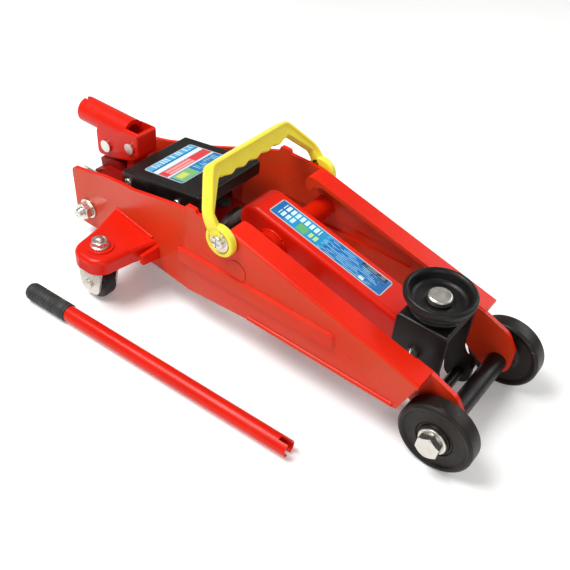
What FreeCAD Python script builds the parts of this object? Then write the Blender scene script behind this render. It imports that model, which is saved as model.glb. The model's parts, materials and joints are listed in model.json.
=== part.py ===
"""Two-tonne hydraulic trolley jack, lowered, with its pump bar lying beside it.

Millimetres. +X points to the saddle end, +Y to the right-hand side, +Z up.
The origin is on the floor, straight below the middle of the front axle.
"""
import FreeCAD, Part
import math
import os

V = FreeCAD.Vector
X_DIR, Y_DIR, Z_DIR = V(1, 0, 0), V(0, 1, 0), V(0, 0, 1)

# ---- front running gear -------------------------------------------------
WHEEL_R = 32.5
WHEEL_IN, WHEEL_OUT = 50.7, 67.6          # inner and outer face of each front wheel
AXLE_D = 17.0
AXLE_HALF = 50.4
WHEEL_BOLT_D = 12.0
BOLT_AF = 19.0
RUN_CLEAR = 0.08                          # radial clearance of running fits

# ---- frame --------------------------------------------------------------
PLATE_OUT, PLATE_T = 66.0, 4.0
PLATE_IN = PLATE_OUT - PLATE_T
FLANGE_IN = 45.0
NOSE_IN, NOSE_OUT = 43.0, 47.0
BOTTOM_Z = 39.5
LIP_REAR = -186.0                         # rear end of the rolled lower edge
FLANGE_A = (-203.0, 121.5)                # rear and front end of the sloping top edge
FLANGE_B = (-22.5, 75.0)
NECK_OUT, NECK_REAR, NECK_FRONT = 46.0, -385.0, -255.0    # narrower rear end, and where it widens
NECK_IN = NECK_OUT - PLATE_T
ROD_X, ROD_Z, ROD_D = -410.0, 37.0, 10.0
ROD_HALF = 61.0
WASHER_T, NUT_T = 1.8, 8.0                # rear rod washer and nut

# ---- casters ------------------------------------------------------------
EAR_Z, EAR_T, SKIRT_Z = 60.0, 4.0, 44.5
STUD_X, STUD_Y, STUD_D = -333.0, 98.0, 8.0
TRAIL = 8.0
CASTER_R, CASTER_W = 18.0, 15.0
FORK_TOP = 42.6
FORK_T = 2.4

# ---- lift linkage -------------------------------------------------------
PIVOT = (-201.0, 86.0)
ARM_PIN = (-50.0, 59.0)
LOW_PIN = (-22.5, 22.5)
LINK_PIVOT = (PIVOT[0] + LOW_PIN[0] - ARM_PIN[0], PIVOT[1] + LOW_PIN[1] - ARM_PIN[1])
SHAFT_D = 21.0
ARM_HALF, ARM_T = 18.5, 3.0
ARM_PIN_D, LOW_PIN_D = 12.0, 10.0
CHEEK_IN, CHEEK_OUT = 19.7, 24.5
BRACKET_TOP, BRACKET_T = 92.0, 5.0
LINK_Y = 31.0
ROD_R, EYE_R, EYE_HALF = 3.9, 8.6, 4.3     # levelling rod, its eyes and half their thickness
SADDLE_X, SADDLE_R, SADDLE_TOP = -48.0, 30.0, 113.0

# ---- hydraulics ---------------------------------------------------------
RAM_Z = 53.0
LEVER_R, LEVER_ANGLE = 36.0, 35.0        # ram lever, and how far it trails straight down
LEVER_PIN = (PIVOT[0] - LEVER_R * math.sin(math.radians(LEVER_ANGLE)),
             PIVOT[1] - LEVER_R * math.cos(math.radians(LEVER_ANGLE)))
TANK_R, TANK_T = 32.0, 3.0
TANK_REAR, TANK_FRONT = -346.0, -260.0
PISTON_D, CYL_R = 20.0, 17.0
SLIDE_PLAY = 0.8                          # room beside the lever pin in the piston slot
BLOCK_HALF = 39.5
BLOCK_STEP = -408.0                       # behind here the casting is cut back at both sides
VALVE_Y, VALVE_Z = -31.0, 62.0

# ---- pump ---------------------------------------------------------------
FULCRUM = (-380.0, 104.0)
PUMP_PIN = (-413.6, 93.0)
PUMP_PIN_D, FULCRUM_D = 7.0, 8.0
PLUNGER_D = 12.0
SOCKET_HALF, SOCKET_T = 12.75, 3.0
TUBE_Z, TUBE_R, TUBE_BORE = 113.0, 12.75, 8.3
TUBE_REAR, TUBE_FRONT, BOX_FRONT = -453.0, -388.0, -368.5

# ---- cover, handle, bar -------------------------------------------------
COVER_HALF, COVER_T = 42.0, 2.5
COVER_REAR, COVER_FRONT = -360.0, -264.0
COVER_SLOPE, COVER_Z = 0.15, 102.4        # slope, and top height at the rear end
COVER_SCREWS = ((-352.0, 84.0), (-352.0, 93.0), (-290.0, 99.0))
GRAB = (-214.0, 114.0)                    # carry-handle hinge
GRAB_LEAN, GRAB_T = 36.0, 7.0             # its lean to the rear, and the thickness of its bosses
GRAB_GAP = 0.6                            # play between boss and side plate
BAR_D, BAR_LEN, GRIP_LEN = 15.0, 296.0, 52.0
BAR_WALL, GRIP_T = 1.6, 1.3
BAR_REAR = (-384.0, -144.5)
BAR_YAW = 2.7


def rounded_wire(corners, place):
    """Closed wire through (u, v, radius) corners, each corner rounded by its radius."""
    edges = []
    ends = []
    count = len(corners)
    for i, (u, v, r) in enumerate(corners):
        p = V(u, v, 0)
        a = V(*corners[i - 1][:2], 0) - p
        b = V(*corners[(i + 1) % count][:2], 0) - p
        a.normalize()
        b.normalize()
        if r <= 0:
            ends.append((p, None, p))
            continue
        half = a.getAngle(b) / 2
        reach = r / math.tan(half)
        mid = (a + b).normalize() * (r / math.sin(half) - r)
        ends.append((p + a * reach, p + mid, p + b * reach))
    for i, (start, mid, stop) in enumerate(ends):
        if mid is not None:
            edges.append(Part.Arc(place(start), place(mid), place(stop)).toShape())
        after = ends[(i + 1) % count][0]
        if (after - stop).Length > 1e-6:
            edges.append(Part.makeLine(place(stop), place(after)))
    return Part.Wire(Part.__sortEdges__(edges))


def side_slab(corners, y0, y1):
    """Plate cut to a side-view outline, between two Y planes."""
    wire = rounded_wire(corners, lambda p: V(p.x, y0, p.y))
    return Part.Face(wire).extrude(V(0, y1 - y0, 0))


def flat_slab(corners, z0, z1):
    """Plate cut to a top-view outline, between two heights."""
    wire = rounded_wire(corners, lambda p: V(p.x, p.y, z0))
    return Part.Face(wire).extrude(V(0, 0, z1 - z0))


def bar_y(x, z, r, y0, y1):
    return Part.makeCylinder(r, y1 - y0, V(x, y0, z), Y_DIR)


def bar_x(y, z, r, x0, x1):
    return Part.makeCylinder(r, x1 - x0, V(x0, y, z), X_DIR)


def bar_z(x, y, r, z0, z1):
    return Part.makeCylinder(r, z1 - z0, V(x, y, z0), Z_DIR)


def box(x0, x1, y0, y1, z0, z1):
    return Part.makeBox(x1 - x0, y1 - y0, z1 - z0, V(x0, y0, z0))


def hexagon(centre, axis, across, height):
    """Hexagonal prism of a given size across flats, standing on its centre point."""
    radius = across / math.sqrt(3)
    ref = Z_DIR if abs(axis.z) < 0.9 else X_DIR
    side = axis.cross(ref)
    side.normalize()
    up = axis.cross(side)
    points = []
    for k in range(7):
        a = math.radians(60 * k)
        points.append(centre + side * (radius * math.cos(a)) + up * (radius * math.sin(a)))
    return Part.Face(Part.makePolygon(points)).extrude(axis * height)


def fused(shapes):
    """One solid from touching or overlapping solids."""
    return shapes[0].multiFuse(shapes[1:]).removeSplitter() if len(shapes) > 1 else shapes[0]


def mirrored(shape):
    return shape.mirror(V(0, 0, 0), Y_DIR)


def both(shape):
    """The same piece on both sides."""
    return Part.makeCompound([shape, mirrored(shape)])


def edges_near(shape, test):
    return [e for e in shape.Edges if all(test(v.Point) for v in e.Vertexes)]


def filleted(shape, radius, test):
    chosen = edges_near(shape, test)
    return shape.makeFillet(radius, chosen) if chosen else shape


def save(name, shape):
    """Write a node; a single-solid compound is unwrapped first."""
    solids = shape.Solids
    if len(solids) == 1:
        shape = solids[0]
    shape.exportStep(os.path.join("parts", name + ".step"))


def flange_z(x):
    """Height of the sloping top edge at x."""
    (xa, za), (xb, zb) = FLANGE_A, FLANGE_B
    return za + (zb - za) * (x - xa) / (xb - xa)


def plate_web():
    """Right-hand web: a bent strip in plan, cut to its side-view outline."""
    blank = side_slab([(-428, 22, 6), (-429, 78, 6), (-402, 82, 0), (-352, 94.5, 0), (-336, 97, 4),
                       (-307, 106, 0), (-279, 114.5, 0), (-258, 120.5, 0), (-256.5, 126, 1.5),
                       (-246.5, 126, 1.5), (-245, 122.2, 0), (*FLANGE_A, 10), (*FLANGE_B, 0),
                       (-36, BOTTOM_Z, 0), (LIP_REAR, BOTTOM_Z, 0), (-305, 29, 0), (-398, 15.5, 4),
                       (-421, 15.5, 4)], NECK_IN - 5, PLATE_OUT)
    bend = PLATE_T * math.tan(math.atan2(PLATE_OUT - NECK_OUT, NECK_FRONT - NECK_REAR) / 2)
    strip = flat_slab([(-430, NECK_OUT, 0), (NECK_REAR, NECK_OUT, 0), (NECK_FRONT, PLATE_OUT, 0),
                       (0, PLATE_OUT, 0), (0, PLATE_IN, 0), (NECK_FRONT + bend, PLATE_IN, 0),
                       (NECK_REAR + bend, NECK_IN, 0), (-430, NECK_IN, 0)], 0, 140)
    return blank.common(strip)


def side_plate():
    """Right-hand plate: web, inward top flange, jog round the wheel and narrower nose."""
    run = V(FLANGE_B[0] - FLANGE_A[0], 0, FLANGE_B[1] - FLANGE_A[1])
    start = V(FLANGE_A[0], 0, FLANGE_A[1])
    section = [start + V(0, FLANGE_IN, 0), start + V(0, PLATE_OUT, 0),
               start + V(0, PLATE_OUT, -PLATE_T), start + V(0, FLANGE_IN, -PLATE_T),
               start + V(0, FLANGE_IN, 0)]
    flange = Part.Face(Part.makePolygon(section)).extrude(run)
    knob = side_slab([(-214, 108, 2), (-214, 122, 5), (-203, 121.5, 0), (-196, flange_z(-196), 0),
                      (-196, flange_z(-196) - 4, 0), (-205, 113, 2), (-208, 108, 2)],
                     FLANGE_IN, PLATE_OUT)
    jog = side_slab([(-26.5, 74.5, 0), (*FLANGE_B, 0), (-36, BOTTOM_Z, 0), (-40, BOTTOM_Z, 0)],
                    NOSE_IN, PLATE_OUT)
    nose = side_slab([(-38, 78, 0), (-23, 74.6, 0), (2, 64.5, 12), (11.5, 50, 8), (11.5, 20.5, 11.9),
                      (-13, 20.5, 8), (-39, BOTTOM_Z, 0)], NOSE_IN, NOSE_OUT)
    plate = fused([plate_web(), flange, knob, jog, nose])
    plate = filleted(plate, 3.4, lambda p: abs(p.y - PLATE_OUT) < 0.01 and -204 < p.x < -20
                     and abs(p.z - flange_z(p.x)) < 0.05)
    bead = side_slab([(-268, 61, 6), (-268, 79, 6), (-98, 79, 6), (-98, 61, 6)],
                     PLATE_OUT - 1, PLATE_OUT + 2.2)
    bead = bead.makeChamfer(2.0, [e for e in bead.Edges
                                  if abs(e.BoundBox.YMin - PLATE_OUT - 2.2) < 0.01])
    hollow = side_slab([(-264, 64, 4), (-264, 76, 4), (-102, 76, 4), (-102, 64, 4)],
                       PLATE_IN - 1, PLATE_OUT - 1.6)
    lip = bar_x(PLATE_OUT - 0.4, BOTTOM_Z + 2.4, 2.4, LIP_REAR, -40)
    plate = fused([plate, bead, lip])
    holes = [hollow,
             bar_y(0, WHEEL_R, AXLE_D / 2, NOSE_IN - 1, NOSE_OUT + 1),
             bar_y(ROD_X, ROD_Z, ROD_D / 2 + 0.2, NECK_IN - 1, NECK_OUT + 1),
             bar_y(*PIVOT, SHAFT_D / 2, PLATE_IN - 1, PLATE_OUT + 1),
             bar_y(*GRAB, 4, PLATE_IN - 1, PLATE_OUT + 1)]
    for hole in holes:
        plate = plate.cut(hole)
    return plate


def caster_ear():
    """Right-hand pressed ear that carries a caster, skirted all round."""
    def outline(inset):
        root = NECK_OUT
        tip = STUD_Y + 21 - inset
        half = 18 - inset
        return [(-369 + inset, root, 0), (-298 - inset, root, 0),
                (STUD_X + half + 6, STUD_Y - 14, 14), (STUD_X + half, tip, 16 - inset / 2),
                (STUD_X - half, tip, 16 - inset / 2), (STUD_X - half - 6, STUD_Y - 14, 14)]
    body = flat_slab(outline(0), SKIRT_Z, EAR_Z)
    rim = [e for e in body.Edges if abs(e.BoundBox.ZMin - EAR_Z) < 0.01
           and e.BoundBox.YMax > NECK_OUT + 0.5]
    body = body.makeFillet(5.0, rim)
    body = body.cut(flat_slab(outline(3.4), SKIRT_Z - 1, EAR_Z - EAR_T))
    gusset = Part.Face(Part.makePolygon([V(-302, NECK_OUT + 4, BOTTOM_Z), V(-302, PLATE_OUT + 14, 46),
                                         V(-302, PLATE_OUT + 14, 56), V(-302, NECK_OUT + 4, 56),
                                         V(-302, NECK_OUT + 4, BOTTOM_Z)])).extrude(V(4, 0, 0))
    seat = bar_z(STUD_X, STUD_Y, 12.5, EAR_Z - 1, EAR_Z + 1.2)
    ear = fused([body, gusset, seat]).cut(bar_z(STUD_X, STUD_Y, STUD_D / 2, 40, 70))
    return max(ear.cut(plate_web()).Solids, key=lambda piece: piece.Volume)


def caster_fork():
    """Right-hand stamped fork: top plate and two cheeks down to the wheel axle."""
    hub_x = STUD_X - TRAIL
    inner = CASTER_W / 2 + 1.4
    top = flat_slab([(hub_x - 13, STUD_Y - inner - FORK_T, 5), (STUD_X + 13, STUD_Y - inner - FORK_T, 5),
                     (STUD_X + 13, STUD_Y + inner + FORK_T, 5), (hub_x - 13, STUD_Y + inner + FORK_T, 5)],
                    FORK_TOP - 2.6, FORK_TOP)
    cheeks = []
    for y0 in (STUD_Y + inner, STUD_Y - inner - FORK_T):
        cheeks.append(side_slab([(hub_x - 13, FORK_TOP, 0), (STUD_X + 11, FORK_TOP, 0),
                                 (STUD_X + 8, 30, 8), (hub_x + 11, 7.5, 9), (hub_x - 11, 7.5, 9)],
                                y0, y0 + FORK_T))
    fork = fused([top] + cheeks)
    fork = fork.cut(bar_z(STUD_X, STUD_Y, STUD_D / 2 + RUN_CLEAR, 30, 50))
    return fork.cut(bar_y(hub_x, CASTER_R, 3, STUD_Y - 20, STUD_Y + 20))


def caster_wheel():
    hub_x = STUD_X - TRAIL
    half = CASTER_W / 2
    wheel = bar_y(hub_x, CASTER_R, CASTER_R, STUD_Y - half, STUD_Y + half)
    wheel = wheel.makeFillet(2.2, [e for e in wheel.Edges if e.Length > 60 and len(e.Vertexes) == 1])
    return wheel.cut(bar_y(hub_x, CASTER_R, 3 + RUN_CLEAR, STUD_Y - 20, STUD_Y + 20))


def caster_axle():
    """Riveted axle with a head outside each cheek."""
    hub_x = STUD_X - TRAIL
    reach = CASTER_W / 2 + 1.4 + FORK_T
    pin = bar_y(hub_x, CASTER_R, 3, STUD_Y - reach, STUD_Y + reach)
    heads = [bar_y(hub_x, CASTER_R, 4.6, STUD_Y + reach, STUD_Y + reach + 1.8),
             bar_y(hub_x, CASTER_R, 4.6, STUD_Y - reach - 1.8, STUD_Y - reach)]
    return fused([pin] + heads)


def caster_stud():
    """Swivel rivet: head under the fork, collar against the ear, thread on top."""
    return fused([bar_z(STUD_X, STUD_Y, 7, FORK_TOP - 5.2, FORK_TOP - 2.8),
                  bar_z(STUD_X, STUD_Y, STUD_D / 2, FORK_TOP - 4, EAR_Z + 10),
                  bar_z(STUD_X, STUD_Y, 8, FORK_TOP + 0.2, EAR_Z - EAR_T)])


def caster_nut():
    nut = hexagon(V(STUD_X, STUD_Y, EAR_Z + 1.2), Z_DIR, 14, 6.5)
    return nut.cut(bar_z(STUD_X, STUD_Y, STUD_D / 2, 50, 80))


def front_wheel():
    """Right-hand wheel with rounded tread edges and a shallow dished ring on the outer face."""
    wheel = bar_y(0, WHEEL_R, WHEEL_R, WHEEL_IN, WHEEL_OUT)
    wheel = wheel.makeFillet(2.4, [e for e in wheel.Edges if e.Length > 150 and len(e.Vertexes) == 1])
    ring = bar_y(0, WHEEL_R, 26, WHEEL_OUT - 1.4, WHEEL_OUT + 1)
    ring = ring.cut(bar_y(0, WHEEL_R, 17, WHEEL_OUT - 3, WHEEL_OUT + 3))
    bore = bar_y(0, WHEEL_R, WHEEL_BOLT_D / 2 + RUN_CLEAR, WHEEL_IN - 5, WHEEL_OUT + 5)
    return wheel.cut(ring).cut(bore)


def wheel_washer():
    """Right-hand washer, clear of the turning wheel by a small gap."""
    washer = bar_y(0, WHEEL_R, 14.5, WHEEL_OUT + 0.3, WHEEL_OUT + 2.8)
    return washer.cut(bar_y(0, WHEEL_R, WHEEL_BOLT_D / 2, WHEEL_OUT - 5, WHEEL_OUT + 5))


def wheel_bolt():
    """Right-hand wheel bolt: hex head and a plain shank pressed into the axle."""
    head = hexagon(V(0, WHEEL_OUT + 2.8, WHEEL_R), Y_DIR, BOLT_AF, 8)
    crown = Part.makeCone(14, BOLT_AF / 2, 14 - BOLT_AF / 2, V(0, WHEEL_OUT + 6.3, WHEEL_R), Y_DIR)
    head = head.common(crown.fuse(bar_y(0, WHEEL_R, 14, WHEEL_OUT + 2.8, WHEEL_OUT + 6.3)))
    shank = bar_y(0, WHEEL_R, WHEEL_BOLT_D / 2, AXLE_HALF - 18, WHEEL_OUT + 3)
    return fused([head, shank])


def front_axle():
    axle = bar_y(0, WHEEL_R, AXLE_D / 2, -AXLE_HALF, AXLE_HALF)
    for sign in (-1, 1):
        end = sorted((sign * (AXLE_HALF - 18), sign * (AXLE_HALF + 1)))
        axle = axle.cut(bar_y(0, WHEEL_R, WHEEL_BOLT_D / 2, *end))
    return axle


def rod_nut():
    """Right-hand washer and nut of the rear cross rod."""
    washer = bar_y(ROD_X, ROD_Z, 10.5, NECK_OUT, NECK_OUT + WASHER_T)
    nut = hexagon(V(ROD_X, NECK_OUT + WASHER_T, ROD_Z), Y_DIR, 16, NUT_T)
    return fused([washer, nut]).cut(bar_y(ROD_X, ROD_Z, ROD_D / 2, NECK_IN, ROD_HALF))


def rod_spacer():
    """Right-hand spacer tube between the casting and the plate."""
    tube = bar_y(ROD_X, ROD_Z, 8, BLOCK_HALF, NECK_IN)
    return tube.cut(bar_y(ROD_X, ROD_Z, ROD_D / 2 + 0.2, BLOCK_HALF - 1, NECK_IN + 1))


def power_block():
    """Rear casting: valve block, pump tower and the shoulders that carry the cover."""
    base = side_slab([(-424, 27, 5), (-424, 66, 3), (-408, 72, 2), (-364, 72, 0), (-364, 98.5, 3),
                      (TANK_REAR, 99.5, 0), (TANK_REAR, 24, 0), (-414, 24, 5)],
                     -BLOCK_HALF, BLOCK_HALF)
    for sign in (-1, 1):
        side = sorted((sign * 22, sign * (BLOCK_HALF + 1)))
        base = base.cut(box(-425, BLOCK_STEP, *side, ROD_Z + 13, 110))
    tower = side_slab([(-422, 60, 0), (-424, 77, 3), (-398, 79, 3), (-392, 70, 0), (-392, 60, 0)],
                      -13.5, 13.5)
    block = fused([base, tower])
    for tool in (bar_y(ROD_X, ROD_Z, ROD_D / 2 + 0.2, -60, 60),
                 bar_z(PUMP_PIN[0], 0, PLUNGER_D / 2 + 0.05, 43.5, 90),
                 bar_x(0, RAM_Z, CYL_R, TANK_REAR - 22, TANK_REAR + 1),
                 bar_x(VALVE_Y, VALVE_Z, 4.2, BLOCK_STEP - 4, BLOCK_STEP + 14)):
        block = block.cut(tool)
    for sign in (-1, 1):
        for z in (84.0, 93.0):
            side = sorted((sign * (BLOCK_HALF - 7), sign * (BLOCK_HALF + 1)))
            block = block.cut(bar_y(-352, z, 2, *side))
    return block


def reservoir():
    """Tank shell round the ram cylinder, with the two lugs that hold the cover front."""
    shell = bar_x(0, RAM_Z + 1, TANK_R, TANK_REAR, TANK_FRONT)
    lugs = [box(-297, -283, 25, BLOCK_HALF, 62, 105), box(-297, -283, -BLOCK_HALF, -25, 62, 105)]
    shell = fused([shell] + lugs)
    shell = shell.cut(bar_x(0, RAM_Z + 1, TANK_R - TANK_T, TANK_REAR - 1, TANK_FRONT + 1))
    shell = shell.cut(bar_z(-272, 0, 4, RAM_Z, 100))
    for sign in (-1, 1):
        side = sorted((sign * (BLOCK_HALF - 7), sign * (BLOCK_HALF + 1)))
        shell = shell.cut(bar_y(-290, 99, 2, *side))
    return shell


def ram_cylinder():
    """Closed-bottom cylinder inside the tank; its gland nut closes the tank front."""
    tube = bar_x(0, RAM_Z, CYL_R, TANK_REAR - 22, TANK_FRONT)
    gland = fused([bar_x(0, RAM_Z + 1, TANK_R, TANK_FRONT, TANK_FRONT + 5),
                   hexagon(V(TANK_FRONT + 5, 0, RAM_Z), X_DIR, 36, 4)])
    bore = bar_x(0, RAM_Z, 13, TANK_REAR - 17, TANK_FRONT - 6)
    return fused([tube, gland]).cut(bore).cut(bar_x(0, RAM_Z, PISTON_D / 2 + 0.05, -300, -240))


def piston():
    """Piston head, chromed rod and a slotted crosshead that pushes the lever pin."""
    x = LEVER_PIN[0]
    rise = (LEVER_R - LEVER_R * math.cos(math.radians(LEVER_ANGLE))) / 2 + SLIDE_PLAY / 2
    head = bar_x(0, RAM_Z, 12.95, TANK_REAR - 16, TANK_REAR + 2)
    rod = bar_x(0, RAM_Z, PISTON_D / 2, TANK_REAR, x - 8)
    tall = rise + 9
    cross = side_slab([(x - 10, RAM_Z - tall, 2), (x + 9, RAM_Z - tall, 4),
                       (x + 9, RAM_Z + tall, 4), (x - 10, RAM_Z + tall, 2)], -9.5, 9.5)
    wide = 4 + SLIDE_PLAY
    slot = side_slab([(x - wide, RAM_Z - rise - 4, 3.9), (x + wide, RAM_Z - rise - 4, 3.9),
                      (x + wide, RAM_Z + rise + 4, 3.9), (x - wide, RAM_Z + rise + 4, 3.9)], -12, 12)
    return fused([head, rod, cross]).cut(slot)


def arm_top(x):
    """Height of the lift arm's top face at x."""
    return 113.6 - 0.2424 * (x + 211)


def lift_arm():
    """Inverted channel with a rolled-over rear end, pivot tube and ram levers."""
    outline = [(-238.5, 90, 5), (-238.5, arm_top(-238.5), 17), (-38, arm_top(-38), 8), (-38, 47.5, 10),
               (-62, 47.5, 6), (-176, 70, 12), (-190, 70.5, 8), (-212, 72, 10), (-222, 84, 5)]
    body = side_slab(outline, -ARM_HALF, ARM_HALF)
    body = filleted(body, 4.5, lambda p: abs(abs(p.y) - ARM_HALF) < 0.01
                    and abs(p.z - arm_top(p.x)) < 0.05)
    cavity = [(-238.5 + ARM_T, 60, 0), (-238.5 + ARM_T, 120.3 - ARM_T, 14),
              (-20, arm_top(-20) - ARM_T, 0), (-20, 30, 0)]
    body = body.cut(side_slab(cavity, -ARM_HALF + ARM_T, ARM_HALF - ARM_T))
    tube = bar_y(*PIVOT, SHAFT_D / 2 + 4, -26, 26)
    levers = []
    for y0 in (-15.0, 11.0):
        levers.append(side_slab([(PIVOT[0] - 13, PIVOT[1] + 8, 4), (LEVER_PIN[0] - 8.5, LEVER_PIN[1] - 2, 5),
                                 (LEVER_PIN[0] - 3, LEVER_PIN[1] - 8.5, 5),
                                 (LEVER_PIN[0] + 9, LEVER_PIN[1] - 5, 5), (PIVOT[0] + 12, PIVOT[1] - 8, 4),
                                 (PIVOT[0] + 12, PIVOT[1] + 8, 4)], y0, y0 + 4))
    arm = fused([body, tube] + levers)
    arm = arm.cut(box(-240, -214, -11.6, 11.6, 70, 111))
    arm = arm.cut(bar_y(*PIVOT, SHAFT_D / 2 + 0.06, -40, 40))
    arm = arm.cut(bar_y(*LEVER_PIN, 4, -30, 30))
    return arm.cut(bar_y(*ARM_PIN, ARM_PIN_D / 2 + 0.06, -40, 40))


def saddle_bracket():
    """Level bracket: top plate, two cheeks with a lower lobe, and the saddle's turning boss."""
    top = box(-70, -24.5, -CHEEK_OUT, CHEEK_OUT, BRACKET_TOP - BRACKET_T, BRACKET_TOP)
    outline = [(-70, BRACKET_TOP, 0), (-70, 60, 6), (-61, 47, 8), (-40, 41, 8), (-34.5, 11.5, 10),
               (-11.5, 11.5, 10), (-12, 31, 8), (-25, 48, 12), (-24.5, BRACKET_TOP, 0)]
    cheeks = [side_slab(outline, CHEEK_IN, CHEEK_OUT), side_slab(outline, -CHEEK_OUT, -CHEEK_IN)]
    boss = bar_z(SADDLE_X, 0, 21, BRACKET_TOP - 1, BRACKET_TOP + 2.5)
    body = fused([top, boss] + cheeks)
    body = filleted(body, 3.0, lambda p: abs(abs(p.y) - CHEEK_OUT) < 0.01
                    and abs(p.z - BRACKET_TOP) < 0.01)
    body = body.cut(bar_y(*ARM_PIN, ARM_PIN_D / 2, -40, 40))
    body = body.cut(bar_y(*LOW_PIN, LOW_PIN_D / 2, -40, 40))
    return body.cut(bar_z(SADDLE_X, 0, 7, 60, 120))


def saddle():
    """Round cup with a raised rim, turning on the bracket boss."""
    profile = [(7.08, 94.7), (23, 94.7), (24.5, 98), (28.6, 104), (SADDLE_R, 107), (SADDLE_R, 111.8),
               (28.8, SADDLE_TOP), (26.4, SADDLE_TOP), (25.2, 111.5), (23.4, 102.5), (7.08, 102.5)]
    points = [V(SADDLE_X + r, 0, z) for r, z in profile]
    face = Part.Face(Part.makePolygon(points + points[:1]))
    return face.revolve(V(SADDLE_X, 0, 0), Z_DIR, 360)


def saddle_pin():
    """Headed pin that keeps the saddle on the bracket."""
    head = bar_z(SADDLE_X, 0, 10.4, 102.8, 108.5)
    head = head.makeChamfer(1.2, [e for e in head.Edges if abs(e.BoundBox.ZMin - 108.5) < 0.01])
    return fused([head, bar_z(SADDLE_X, 0, 7, BRACKET_TOP - BRACKET_T - 1.5, 104),
                  bar_z(SADDLE_X, 0, 9, BRACKET_TOP - BRACKET_T - 3.5, BRACKET_TOP - BRACKET_T)])


def arm_pin():
    pin = bar_y(*ARM_PIN, ARM_PIN_D / 2, -30.5, 26.5)
    head = bar_y(*ARM_PIN, 8.5, CHEEK_OUT, CHEEK_OUT + 3)
    return fused([pin, head]).cut(bar_z(ARM_PIN[0], -28, 1.3, 40, 80))


def arm_cotter():
    """Split pin through the free end of the arm pin."""
    x, z = ARM_PIN
    leg = bar_z(x, -28, 1.2, z - 11, z + 8.5)
    eye = Part.makeTorus(2.6, 1.2, V(x, -28, z + 10.2), Y_DIR)
    return fused([leg, eye])


def lower_pin():
    pin = bar_y(*LOW_PIN, LOW_PIN_D / 2, -36.5, 36.5)
    rings = [bar_y(*LOW_PIN, 7, 35.4, 37.4), bar_y(*LOW_PIN, 7, -37.4, -35.4)]
    return fused([pin] + rings)


def leveling_rod():
    """Right-hand levelling rod with a flat eye at each end."""
    a = V(LINK_PIVOT[0], LINK_Y, LINK_PIVOT[1])
    b = V(LOW_PIN[0], LINK_Y, LOW_PIN[1])
    run = b - a
    rod = Part.makeCylinder(ROD_R, run.Length, a, run)
    eyes = [bar_y(p.x, p.z, EYE_R, LINK_Y - EYE_HALF, LINK_Y + EYE_HALF) for p in (a, b)]
    body = fused([rod] + eyes)
    body = body.cut(bar_y(a.x, a.z, 5 + RUN_CLEAR, 20, 45))
    return body.cut(bar_y(b.x, b.z, LOW_PIN_D / 2 + RUN_CLEAR, 20, 45))


def link_stud():
    """Right-hand shouldered stud on the plate for the levelling rod."""
    return fused([bar_y(*LINK_PIVOT, 5, 24.6, 36), bar_y(*LINK_PIVOT, 8, 35.6, PLATE_IN),
                  bar_y(*LINK_PIVOT, 7, 24.6, 26.4)])


def cover_plate():
    """Pressed cover with a lip all round, sloping up to the front."""
    def top(x):
        return COVER_Z + COVER_SLOPE * (x - COVER_REAR)
    rear, front = COVER_REAR, COVER_FRONT
    body = side_slab([(rear, top(rear) - 20, 3), (rear, top(rear), 3), (front, top(front), 3),
                      (front, top(front) - 16, 5)], -COVER_HALF, COVER_HALF)
    body = filleted(body, 2.0, lambda p: abs(abs(p.y) - COVER_HALF) < 0.01
                    and abs(p.z - top(p.x)) < 0.05)
    cavity = side_slab([(rear - 5, top(rear) - 40, 0), (rear - 5, top(rear - 5) - COVER_T, 0),
                        (front - COVER_T, top(front - COVER_T) - COVER_T, 0),
                        (front - COVER_T, top(front) - 40, 0)], -BLOCK_HALF, BLOCK_HALF)
    body = body.cut(cavity)
    for x, z in COVER_SCREWS:
        body = body.cut(bar_y(x, z, 2.2, -50, 50))
    return body


def cover_screw(x, z):
    """Right-hand pan-head screw with a cross slot."""
    head = bar_y(x, z, 4, COVER_HALF, COVER_HALF + 2.2)
    head = head.makeFillet(1.2, [e for e in head.Edges if abs(e.BoundBox.YMin - COVER_HALF - 2.2) < 0.01])
    for dx, dz in ((2.4, 0.5), (0.5, 2.4)):
        head = head.cut(box(x - dx, x + dx, COVER_HALF + 1.2, COVER_HALF + 3, z - dz, z + dz))
    return fused([head, bar_y(x, z, 2, BLOCK_HALF - 6.5, COVER_HALF + 0.5)])


def label_plate(x0, x1, half, height, slope, base_x):
    """Thin printed plate lying on a sloping top face."""
    z0 = height + slope * (x0 - base_x)
    z1 = height + slope * (x1 - base_x)
    points = [V(x0, -half, z0), V(x1, -half, z1), V(x1, -half, z1 + 0.35), V(x0, -half, z0 + 0.35)]
    return Part.Face(Part.makePolygon(points + points[:1])).extrude(V(0, 2 * half, 0))


def pump_yoke():
    """Upright lug on the casting that carries the socket's fulcrum pin."""
    x, z = FULCRUM
    lug = side_slab([(x - 12, 72, 0), (x - 6.5, z - 4, 3), (x - 6.5, z + 6.5, 6.4), (x + 6.5, z + 6.5, 6.4),
                     (x + 6.5, z - 4, 3), (x - 0.5, z - 10, 3), (x, 82, 0), (x + 5.5, 72, 0)], -9, 9)
    return lug.cut(bar_y(x, z, FULCRUM_D / 2, -20, 20))


def pump_plunger():
    """Plunger with a slotted head; the slot takes up the pin's sideways travel."""
    x, z = PUMP_PIN
    head = side_slab([(x - 9, z - 8, 2), (x - 9, z + 5.2, 5.1), (x + 7.5, z + 5.2, 5.1),
                      (x + 7.5, z - 8, 2)], -8.5, 8.5)
    stem = bar_z(x, 0, PLUNGER_D / 2, 44, z - 7)
    high = PUMP_PIN_D / 2 + 0.22
    slot = side_slab([(x - 6.0, z - high, high - 0.02), (x + 4.8, z - high, high - 0.02),
                      (x + 4.8, z + high, high - 0.02), (x - 6.0, z + high, high - 0.02)], -12, 12)
    return fused([head, stem]).cut(slot)


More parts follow.
